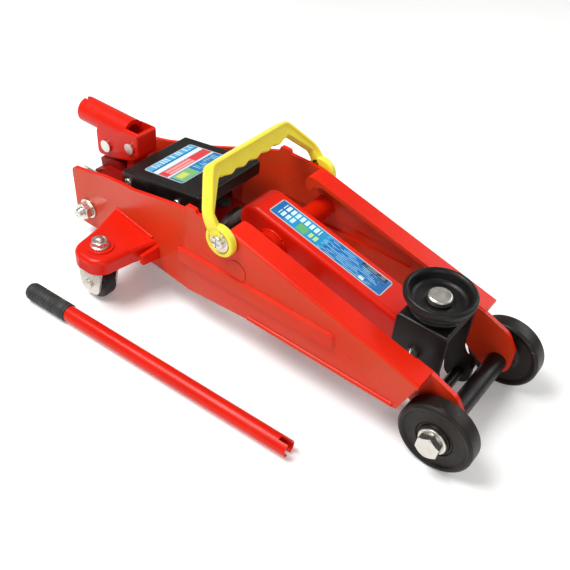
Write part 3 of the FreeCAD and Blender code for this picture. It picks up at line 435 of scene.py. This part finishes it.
class Shell:
    """Points and faces gathered from several rings, lathes and sweeps."""

    def __init__(self):
        self.verts = []
        self.faces = []

    def skin(self, rings, loop=False):
        """Quads from ring to ring; the ends are closed with fans, or joined if loop is set."""
        start, count = len(self.verts), len(rings[0])
        for ring in rings:
            self.verts.extend(ring)
        last = len(rings) if loop else len(rings) - 1
        for i in range(last):
            a, b = start + i * count, start + (i + 1) % len(rings) * count
            for k in range(count):
                n = (k + 1) % count
                self.faces.append((a + k, a + n, b + n, b + k))
        if not loop:
            for ring, first in ((rings[0], start), (rings[-1], start + (len(rings) - 1) * count)):
                self.verts.append(sum(ring, Vector()) / count)
                hub = len(self.verts) - 1
                self.faces.extend((first + k, first + (k + 1) % count, hub) for k in range(count))
        return self

    def lathe(self, profile, centre, axis, around=96, loop=False):
        """Turn (along, radius) points round an axis; loop closes a profile that has a bore."""
        u, v = cross_axes(axis)
        rings = [circle(centre + axis * along, u, v, radius, around) for along, radius in profile]
        return self.skin(rings, loop)

    def hexagon(self, centre, axis, across, height, start):
        """Hexagon turned by a start angle, with a chamfered crown and a slightly dished face."""
        u, v = cross_axes(axis)
        count, sixth = 96, math.tau / 6
        crown, chamfer, dish = across / 2 * 0.96, 0.62, 0.25 * MM
        angles = [math.tau * k / count for k in range(count)]
        flat = [across / 2 / math.cos((a + start) % sixth - sixth / 2) for a in angles]
        rim = [height - max(0.0, r - crown) * chamfer for r in flat]
        rings = []
        for heights in ([0.0] * count, rim):
            rings.append([centre + axis * h + (u * math.cos(a) + v * math.sin(a)) * r
                          for a, r, h in zip(angles, flat, heights)])
        for share, sunk in ((0.985, 0.0), (0.80, 0.0), (0.74, dish)):
            rings.append(circle(centre + axis * (height - sunk), u, v, crown * share, count))
        return self.skin(rings)

    def thread(self, centre, axis, length, radius):
        """Threaded rod whose ridge winds round the axis, with a tapered end."""
        u, v = cross_axes(axis)
        pitch, around, steps = THREAD_PITCH, 48, 6
        depth = pitch * 0.45
        tip, taper = 1.2 * MM, 0.9
        rings = []
        for i in range(int(length / pitch * steps) + 1):
            along = min(length, i * pitch / steps)
            limit = radius - max(0.0, along - (length - tip)) * taper
            ring = []
            for k in range(around):
                a = math.tau * k / around
                ridge = abs(2 * ((along / pitch - k / around) % 1.0) - 1)
                r = min(limit, radius - depth * ridge)
                ring.append(centre + axis * along + (u * math.cos(a) + v * math.sin(a)) * r)
            rings.append(ring)
        return self.skin(rings)

    def bead(self, path, radius, pitch):
        """Weld bead along a path: overlapping ripples of uneven size."""
        rings = []
        around = 12
        for i, point in enumerate(path):
            tangent = (path[min(i + 1, len(path) - 1)] - path[max(i - 1, 0)]).normalized()
            u, v = cross_axes(tangent)
            along = (point - path[0]).length
            wave = abs(math.sin(math.pi * along / pitch))
            drift = math.sin(along / pitch * 1.7)
            rings.append(circle(point, u, v, radius * (0.84 + 0.16 * wave + 0.05 * drift), around))
        return self.skin(rings)


def cross_axes(axis):
    """Two unit vectors at right angles to an axis."""
    u = axis.orthogonal().normalized()
    return u, axis.cross(u).normalized()


def circle(centre, u, v, radius, count):
    return [centre + (u * math.cos(math.tau * k / count) + v * math.sin(math.tau * k / count)) * radius
            for k in range(count)]


def eased(profile, radius, steps=4, closed=False):
    """Round the corners of a 2-D line, each by up to the given radius."""
    points = [Vector(p) for p in profile]
    count = len(points)
    share = 0.45                # the most of a side that one corner may take
    out = []
    for i, p in enumerate(points):
        if not closed and i in (0, count - 1):
            out.append(p)
            continue
        a, b = points[i - 1] - p, points[(i + 1) % count] - p
        reach_a, reach_b = min(radius, a.length * share), min(radius, b.length * share)
        start, stop = p + a.normalized() * reach_a, p + b.normalized() * reach_b
        for k in range(steps + 1):
            t = k / steps
            out.append(start * (1 - t) ** 2 + p * (2 * t * (1 - t)) + stop * t ** 2)
    return [tuple(q) for q in out]


def scaled(profile):
    """A profile in millimetres as one in metres."""
    return [(a * MM, b * MM) for a, b in profile]


def resampled(points, count):
    """A 2-D line at evenly spaced stations."""
    points = [Vector(p) for p in points]
    lengths = [0.0]
    for a, b in zip(points, points[1:]):
        lengths.append(lengths[-1] + (b - a).length)
    out = []
    k = 0
    for i in range(count):
        want = lengths[-1] * i / (count - 1)
        while k < len(points) - 2 and lengths[k + 1] < want:
            k += 1
        t = (want - lengths[k]) / max(1e-9, lengths[k + 1] - lengths[k])
        out.append(points[k].lerp(points[k + 1], t))
    return out


def line(a, b, count):
    """Evenly spaced points from a to b."""
    return [a.lerp(b, i / (count - 1)) for i in range(count)]


JOINT = {joint["name"]: joint for joint in frame["joints"]}
MOUNT = {mount["name"]: mount for mount in frame["record"]["mounts"]}


# ------------------------------------------------------------- front wheels

def front_wheel(side, sign):
    """Dished wheel with a raised rim and a sunk ring round its hub."""
    low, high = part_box("front_wheel_" + side)
    width, radius = high.y - low.y, (high.z - low.z) / 2
    w, r = width / MM, radius / MM
    bore, hub = 6.1, 13.0
    profile = [(0.6, bore), (0.6, hub), (2.6, hub + 2), (2.6, r - 6), (0.8, r - 4.2), (0, r - 3.2),
               (0, r - 1.8), (1.8, r), (w - 2.2, r), (w - 0.2, r - 1.9), (w, r - 2.8), (w - 0.5, r - 4.6),
               (w - 2.4, r - 6.2), (w - 2.2, hub + 7), (w - 1.3, hub + 3.4), (w - 2.9, hub + 2.6),
               (w - 3.2, hub + 0.6), (w - 0.5, hub), (w - 0.2, bore)]
    inner = Vector((0, high.y if sign < 0 else low.y, (low.z + high.z) / 2))
    shell = Shell().lathe(scaled(eased(profile, 0.8, closed=True)), inner, Y_DIR * sign, 160, loop=True)
    piece("front_wheel_" + side + "_body", shell, "front_wheel_" + side, "wheel_black",
          ["front_wheel_" + side], smooth=44)


def wheel_fasteners():
    """Dished washers and chamfered hex heads of both front wheels."""
    bolts, washers = Shell(), Shell()
    _, bolt_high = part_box("wheel_bolts")
    _, washer_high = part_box("wheel_washers")
    _, wheel_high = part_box("front_wheel_right")
    bore, collar_r, head_r, shank_r, shank, across = 6.2, 12.2, 9.3, 6.0, 16.0, 18.6
    plate = (washer_high.y - wheel_high.y) / MM
    skirt = 0.9                 # height of the round part under the hexagon
    collar = eased([(-0.1, bore), (-0.1, collar_r), (plate - 0.8, collar_r), (plate, collar_r - 1.2),
                    (plate, bore)], 0.5, closed=True)
    under_head = eased([(0, 0.2), (0, head_r), (skirt, head_r), (skirt + 0.1, 0.2)], 0.2)
    for sign in (-1, 1):
        axis = Y_DIR * sign
        seat = Vector((0, sign * wheel_high.y, wheel_high.z / 2))
        washers.lathe(scaled(collar), seat, axis, loop=True)
        head = seat + axis * (plate * MM)
        bolts.lathe(scaled(under_head), head, axis)
        bolts.hexagon(head + axis * (skirt * MM), axis, across * MM,
                      bolt_high.y - washer_high.y - (skirt + 0.1) * MM, 0.35)
        bolts.lathe(scaled([(-shank, shank_r), (0.1, shank_r)]), head, axis, 48)
    soften(piece("wheel_washer_rings", washers, "frame", "zinc_steel", ["wheel_washers"]), 0.2 * MM)
    soften(piece("wheel_bolt_heads", bolts, "frame", "zinc_steel", ["wheel_bolts"], 30), 0.25 * MM, 2)


# ------------------------------------------------------------------ casters

def caster_wheel(side):
    """Narrow wheel with a raised hub and sunk faces, the same on both sides."""
    low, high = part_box("caster_wheel_" + side)
    w, r = (high.y - low.y) / MM, (high.z - low.z) / 2 / MM
    half = [(0.5, 3.1), (0.5, 6), (1.7, 7), (1.7, r - 5.4), (0.2, r - 4.4), (0, r - 2.6), (1.1, r - 0.9),
            (3.0, r)]
    profile = half + [(w - along, radius) for along, radius in reversed(half)]
    centre = Vector(((low.x + high.x) / 2, low.y, (low.z + high.z) / 2))
    shell = Shell().lathe(scaled(eased(profile, 0.7, closed=True)), centre, Y_DIR, 128, loop=True)
    piece("caster_wheel_" + side + "_body", shell, "caster_wheel_" + side, "wheel_black",
          ["caster_wheel_" + side], smooth=44)


def caster_hardware():
    """Swivel studs with a threaded top end, and their flanged nuts."""
    studs, nuts = Shell(), Shell()
    stud_low, stud_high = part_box("caster_studs")
    nut_low, nut_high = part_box("caster_nuts")
    _, fork_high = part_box("caster_fork_right")
    stud_r, head_r, bush_r, across = 4.0, 7.0, 8.0, 13.6
    head = stud_low.z / MM                      # underside of the stud's head
    bush = fork_high.z / MM + 0.2               # lower and upper end of the bush over the fork
    bush_top = nut_low.z / MM - 5.2
    thread = nut_high.z / MM - 1.0              # where the visible thread starts
    stud = [(head, head_r - 0.4), (head + 0.5, head_r), (head + 2.4, head_r), (head + 2.4, stud_r),
            (bush, stud_r), (bush, bush_r), (bush_top, bush_r), (bush_top, stud_r), (thread, stud_r)]
    flange = eased([(0, 4.1), (0, 8.6), (1.2, 8.6), (1.9, 7.2), (1.9, 4.1)], 0.4, closed=True)
    for side in SIDES:
        x, y, _ = JOINT["caster_swivel_" + side]["pos_m"]
        studs.thread(Vector((x, y, thread * MM)), Z_DIR, stud_high.z - thread * MM, stud_r * MM)
        studs.lathe(scaled(stud), Vector((x, y, 0)), Z_DIR, 48)
        nuts.lathe(scaled(flange), Vector((x, y, nut_low.z)), Z_DIR, loop=True)
        nuts.hexagon(Vector((x, y, nut_low.z + 1.4 * MM)), Z_DIR, across * MM,
                     nut_high.z - nut_low.z - 1.5 * MM, 0.5)
    piece("caster_stud_threads", studs, "frame", "zinc_steel", ["caster_studs"], 50)
    soften(piece("caster_flange_nuts", nuts, "frame", "zinc_steel", ["caster_nuts"], 30), 0.25 * MM, 2)


def rear_rod_hardware():
    """Cross rod with threaded ends, and its washers and nuts."""
    rod, nuts = Shell(), Shell()
    rod_low, rod_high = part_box("rear_rod")
    _, nut_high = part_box("rear_nuts")
    washer_t, nut_t, washer_r, across = 1.8 * MM, 8.0 * MM, 10.4 * MM, 15.8 * MM
    thread, overlap = 13 * MM, 1 * MM
    x, z = (rod_low.x + rod_high.x) / 2, (rod_low.z + rod_high.z) / 2
    radius = (rod_high.z - rod_low.z) / 2
    bore = radius + 0.1 * MM
    face = nut_high.y - washer_t - nut_t
    plain = thread - overlap                    # the plain middle reaches a little into each thread
    rod.lathe([(rod_low.y + plain, radius), (rod_high.y - plain, radius)], Vector((x, 0, z)), Y_DIR, 48)
    washer = eased([(0, bore), (0, washer_r), (washer_t, washer_r), (washer_t, bore)], 0.4 * MM, closed=True)
    for sign in (-1, 1):
        axis = Y_DIR * sign
        rod.thread(Vector((x, sign * (rod_high.y - thread), z)), axis, thread, radius)
        nuts.lathe(washer, Vector((x, sign * face, z)), axis, loop=True)
        nuts.hexagon(Vector((x, sign * (face + washer_t), z)), axis, across, nut_t, 0.2)
    piece("rear_rod_threaded", rod, "frame", "zinc_steel", ["rear_rod"], 50)
    soften(piece("rear_rod_nuts", nuts, "frame", "zinc_steel", ["rear_nuts"], 30), 0.25 * MM, 2)


# ------------------------------------------------------------------- saddle

def saddle_cup():
    """Cast cup with a rolled rim, a stepped neck and a sunk floor."""
    low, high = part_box("saddle")
    x, y = (low.x + high.x) / 2, (low.y + high.y) / 2
    r, h = (high.x - low.x) / 2 / MM, (high.z - low.z) / MM
    bore = 7.1
    profile = [(0, bore), (0, r - 6.4), (2.2, r - 6.0), (2.9, r - 7.2), (4.4, r - 7.2), (5.4, r - 4.6),
               (7.6, r - 3.4), (8.4, r - 4.2), (9.6, r - 3.6), (11.4, r - 0.9), (13, r), (h - 2.0, r),
               (h - 0.4, r - 1.2), (h, r - 2.4), (h - 0.3, r - 3.8), (h - 2.2, r - 5.4), (9.8, r - 7.0),
               (8.0, r - 9.4), (7.8, 12.5), (7.2, 11.4), (7.2, bore)]
    foot = Vector((x, y, low.z))
    shell = Shell().lathe(scaled(eased(profile, 0.9, closed=True)), foot, Z_DIR, 160, loop=True)
    piece("saddle_cup", shell, "saddle", "saddle_black", ["saddle"], smooth=46)


def saddle_stud():
    """Turned, chamfered disc head of the pin that holds the saddle."""
    low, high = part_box("saddle_pin")
    x, y = (low.x + high.x) / 2, (low.y + high.y) / 2
    top = (high.z - low.z) / MM
    shank, foot, disc = 7.0, 9.0, 10.4
    profile = [(0, foot - 0.4), (0.4, foot), (2.6, foot), (2.6, shank), (top - 5.7, shank),
               (top - 5.7, disc - 0.6), (top - 5.2, disc), (top - 1.3, disc), (top - 0.15, disc - 1.2),
               (top, disc - 1.8), (top - 0.25, 4.0), (top - 0.1, 1.0)]
    shell = Shell().lathe(scaled(eased(profile, 0.35)), Vector((x, y, low.z)), Z_DIR, 96)
    piece("saddle_stud", shell, "saddle_bracket", "zinc_steel", ["saddle_pin"], smooth=34)


# ------------------------------------------------------------- carry handle

HANDLE_LEAN = math.radians(36)
BAND_HALF, WEB_HALF, FLANGE_DEPTH = 6.5, 4.3, 3.2        # the bail's section, mm
BOSS_T, BOSS_R, BOSS_BORE = 7.0, 14.5, 4.3
GRIP_UNDER, GROOVE_PITCH = 43.0, 16.0                    # height of the finger grooves, and their pitch


def bail_section(depth):
    """The flanged section of the bail, as (across, inward) points in millimetres."""
    band, web, flange = BAND_HALF, WEB_HALF, FLANGE_DEPTH
    half = [(band - 1.3, 0), (band - 0.4, 0.4), (band, 1.3), (band, flange - 1.2),
            (band - 0.4, flange - 0.3), (band - 1.2, flange), (web + 0.5, flange + 0.5),
            (web, flange + 1.3), (web, depth - 1.6), (web - 0.5, depth - 0.5), (web - 1.6, depth)]
    return half + [(-across, inward) for across, inward in reversed(half)]


def carry_handle():
    """Moulded bail: flanged section, finger grooves under the grip, ringed bosses."""
    pivot = Vector(JOINT["handle_fold"]["pos_m"])
    _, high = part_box("carry_handle")
    up = Vector((-math.sin(HANDLE_LEAN), 0, math.cos(HANDLE_LEAN)))
    ahead = Vector((math.cos(HANDLE_LEAN), 0, math.sin(HANDLE_LEAN)))
    out = high.y / MM
    inn = out - BOSS_T
    outer = [(out, -2), (out, 23), (53.5, 52), (49, 57.6), (40, 58), (0, 58)]
    inner = [(inn, -2), (inn, 22), (47.5, 44), (44, 46)]
    inner += [(y, GRIP_UNDER - math.cos(math.tau * y / GROOVE_PITCH)) for y in range(42, -1, -1)]
    outer += [(-y, rise) for y, rise in reversed(outer[:-1])]
    inner += [(-y, rise) for y, rise in reversed(inner[:-1])]
    stations = 260
    rings = []
    for a, b in zip(resampled(eased(outer, 9.0, 8), stations), resampled(eased(inner, 1.2, 3), stations)):
        depth = (b - a).length
        step = (b - a) / depth
        rings.append([pivot + Y_DIR * ((a.x + step.x * d) * MM - pivot.y) + up * ((a.y + step.y * d) * MM)
                      + ahead * (w * MM) for w, d in bail_section(depth)])
    shell = Shell().skin(rings)
    boss = [(0, BOSS_BORE), (0, BOSS_R - 0.9), (0.8, BOSS_R), (5.6, BOSS_R), (6.8, 13.8), (BOSS_T, 12.4),
            (BOSS_T, 11.2), (6.2, 10.6), (4.8, 10.2), (4.8, BOSS_BORE)]
    boss = scaled(eased(boss, 0.6, closed=True))
    for sign in (-1, 1):
        shell.lathe(boss, pivot + Y_DIR * (sign * inn * MM), Y_DIR * sign, loop=True)
    piece("carry_bail", shell, "carry_handle", "yellow_plastic", ["carry_handle"], smooth=40)


# ---------------------------------------------------------------- bar grip

def bar_sleeve():
    """Rubber sleeve with a domed, ringed end and shallow ribs."""
    mount = MOUNT["bar_end"]
    axis = Vector(mount["axis"]).normalized()
    front = Vector(mount["pos_m"]) - axis * (mount["dims"]["length_mm"] / 2 * MM)
    bar_r = mount["dims"]["r_mm"]
    length, radius, bore = 52.0, bar_r + 1.0, bar_r - 0.25
    ribs, first_rib, rib_pitch, rib_depth = 9, 9.0, 3.4, 0.55
    profile = [(0.0, 0.6), (0.0, 3.2), (0.6, 5.2), (2.0, 7.2), (4.4, radius - 0.1), (6.0, radius)]
    for k in range(ribs):
        start = first_rib + k * rib_pitch
        groove = radius - rib_depth
        profile += [(start, radius), (start + 0.5, groove), (start + 1.2, groove), (start + 1.7, radius)]
    profile += [(length - 4.0, radius), (length - 3.4, radius - 0.5), (length - 2.6, radius),
                (length - 0.5, radius), (length, radius - 0.5), (length, bore), (length - 3, bore),
                (length - 3, 2.0)]
    shell = Shell().lathe(scaled(profile), front - axis * (length * MM), axis)
    piece("bar_sleeve", shell, "pump_bar", "black_rubber", ["bar_grip"], smooth=50)


# ------------------------------------------------------------------- labels

FILM_T, FILM_CORNER = 0.30 * MM, 3 * MM


def label(name, node, body, art):
    """Printed film with round corners on the slope of its CAD node."""
    low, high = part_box(node)
    points = [v.co for v in NODES[node].data.vertices]
    rear = max(p.z for p in points if p.x < low.x + 0.1 * MM)
    front = max(p.z for p in points if p.x > high.x - 0.1 * MM)
    run = high.x - low.x
    slope = math.atan2(front - rear, run)
    half_x, half_y = math.hypot(run, front - rear) / 2, (high.y - low.y) / 2
    corners = [(half_x, half_y), (-half_x, half_y), (-half_x, -half_y), (half_x, -half_y)]
    outline = eased(corners, FILM_CORNER, 8, closed=True)
    shell = Shell().skin([[Vector((x, y, z)) for x, y in outline] for z in (-FILM_T, 0)])
    middle = Vector(((low.x + high.x) / 2, (low.y + high.y) / 2, (rear + front) / 2))
    place = Matrix.Translation(middle) @ Matrix.Rotation(-slope, 4, "Y")
    film = art(half_x, half_y)
    piece(name, shell, body, "label_film", [node], material=film, place=place)


# -------------------------------------------------------------- weld beads

ARM_FACE, PIVOT_TUBE_R = 18.5 * MM, 14.6 * MM             # where the arm's own beads run


def welds():
    """Beads along each ear, round the arm's pivot tube and at the foot of the yoke."""
    frame_welds, arm_welds = Shell(), Shell()
    ear_low, ear_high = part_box("caster_ear_right")
    top = ear_high.z - 1.2 * MM
    rim = [v.co for v in NODES["caster_ear_right"].data.vertices if abs(v.co.z - top) < 0.2 * MM]
    rear_root = min((p for p in rim if p.x < ear_low.x + 8 * MM), key=lambda p: p.y)
    front_root = min((p for p in rim if p.x > rear_root.x + 50 * MM), key=lambda p: p.y)
    pivot_x, _, pivot_z = JOINT["arm_lift"]["pos_m"]
    yoke_low, yoke_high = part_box("pump_yoke")
    yoke_ends, foot = (yoke_low.x + 2 * MM, yoke_high.x - 2 * MM), yoke_low.z + 0.2 * MM
    for sign in (-1, 1):
        start, stop = (Vector((p.x, sign * p.y, top)) for p in (rear_root, front_root))
        frame_welds.bead(line(start, stop, 130), 2.3 * MM, 1.9 * MM)
        start, stop = (Vector((x, sign * yoke_high.y, foot)) for x in yoke_ends)
        frame_welds.bead(line(start, stop, 40), 1.6 * MM, 1.6 * MM)
        ring = circle(Vector((pivot_x, sign * ARM_FACE, pivot_z)), X_DIR, Z_DIR, PIVOT_TUBE_R, 110)
        arm_welds.bead(ring + ring[:1], 1.7 * MM, 1.7 * MM)
    piece("frame_weld_beads", frame_welds, "frame", "red_paint", smooth=60)
    piece("arm_weld_beads", arm_welds, "lift_arm", "red_paint", smooth=60)


for side, sign in SIDES.items():
    front_wheel(side, sign)
    caster_wheel(side)
wheel_fasteners()
caster_hardware()
rear_rod_hardware()
saddle_cup()
saddle_stud()
carry_handle()
bar_sleeve()
label("arm_label_film", "arm_label", "lift_arm", arm_print)
label("cover_label_film", "cover_label", "frame", cover_print)
welds()


# --------------------------------------------------------- floor, light, camera

def area_light(name, place, aim, size, power):
    """Rectangular lamp that looks from its place at its aim."""
    data = bpy.data.lights.new(name, "AREA")
    data.shape = "RECTANGLE"
    data.size, data.size_y = size
    data.energy = power
    lamp = bpy.data.objects.new(name, data)
    bpy.context.scene.collection.objects.link(lamp)
    lamp.location = place
    lamp.rotation_mode = "QUATERNION"
    lamp.rotation_quaternion = (Vector(aim) - Vector(place)).to_track_quat("-Z", "Y")


def floor():
    """Plain pale floor, large enough to fill every view."""
    bm = bmesh.new()
    bmesh.ops.create_grid(bm, x_segments=8, y_segments=8, size=6.0)
    mesh = bpy.data.meshes.new("floor")
    bm.to_mesh(mesh)
    bm.free()
    obj = bpy.data.objects.new("floor", mesh)
    bpy.context.scene.collection.objects.link(obj)
    white, paler = (0.90, 0.90, 0.89), (0.93, 0.93, 0.925)
    p = Paint("floor_white", white, 0.75)
    p.set(Base_Color=p.mix(p.span(p.noise(3, 3), 0.3, 0.7), white, paler))
    p.set(Emission_Color=(1.0, 1.0, 0.99), Emission_Strength=0.14)
    mesh.materials.append(p.material)


def camera():
    """Camera above the saddle end and the bar's side, a little rolled."""
    aim = Vector((-0.1958, 0.0, 0.0305))
    azimuth, elevation, roll = math.radians(34.57), math.radians(41.28), math.radians(5.0)
    distance, lens, sensor = 0.7183, 48.9, 36.0
    back = Vector((math.sin(azimuth) * math.cos(elevation),
                   -math.cos(azimuth) * math.cos(elevation), math.sin(elevation)))
    right = Vector((math.cos(azimuth), math.sin(azimuth), 0))
    up = back.cross(right)
    right_rolled = right * math.cos(roll) + up * math.sin(roll)
    up_rolled = up * math.cos(roll) - right * math.sin(roll)
    data = bpy.data.cameras.new("photo_camera")
    data.lens, data.sensor_width = lens, sensor
    obj = bpy.data.objects.new("photo_camera", data)
    bpy.context.scene.collection.objects.link(obj)
    place = aim + back * distance
    columns = Matrix((right_rolled, up_rolled, back)).transposed().to_4x4()
    obj.matrix_world = Matrix.Translation(place) @ columns
    bpy.context.scene.camera = obj


def studio():
    """Faint warm surroundings, a strong key lamp above and two weaker ones."""
    world = bpy.data.worlds.new("studio")
    world.use_nodes = True
    background = world.node_tree.nodes["Background"].inputs
    background["Color"].default_value = (1.0, 0.99, 0.98, 1)
    background["Strength"].default_value = 0.30
    bpy.context.scene.world = world
    middle = (-0.2, 0.0, 0.06)
    area_light("key", (-0.62, -0.42, 1.15), middle, (0.6, 0.6), 16.5)
    area_light("front_fill", (0.75, -0.95, 0.75), middle, (0.9, 0.7), 4)
    area_light("rear_strip", (0.35, 1.0, 0.85), middle, (1.2, 0.35), 6)
    bpy.context.scene.view_settings.view_transform = "Standard"


floor()
camera()
studio()
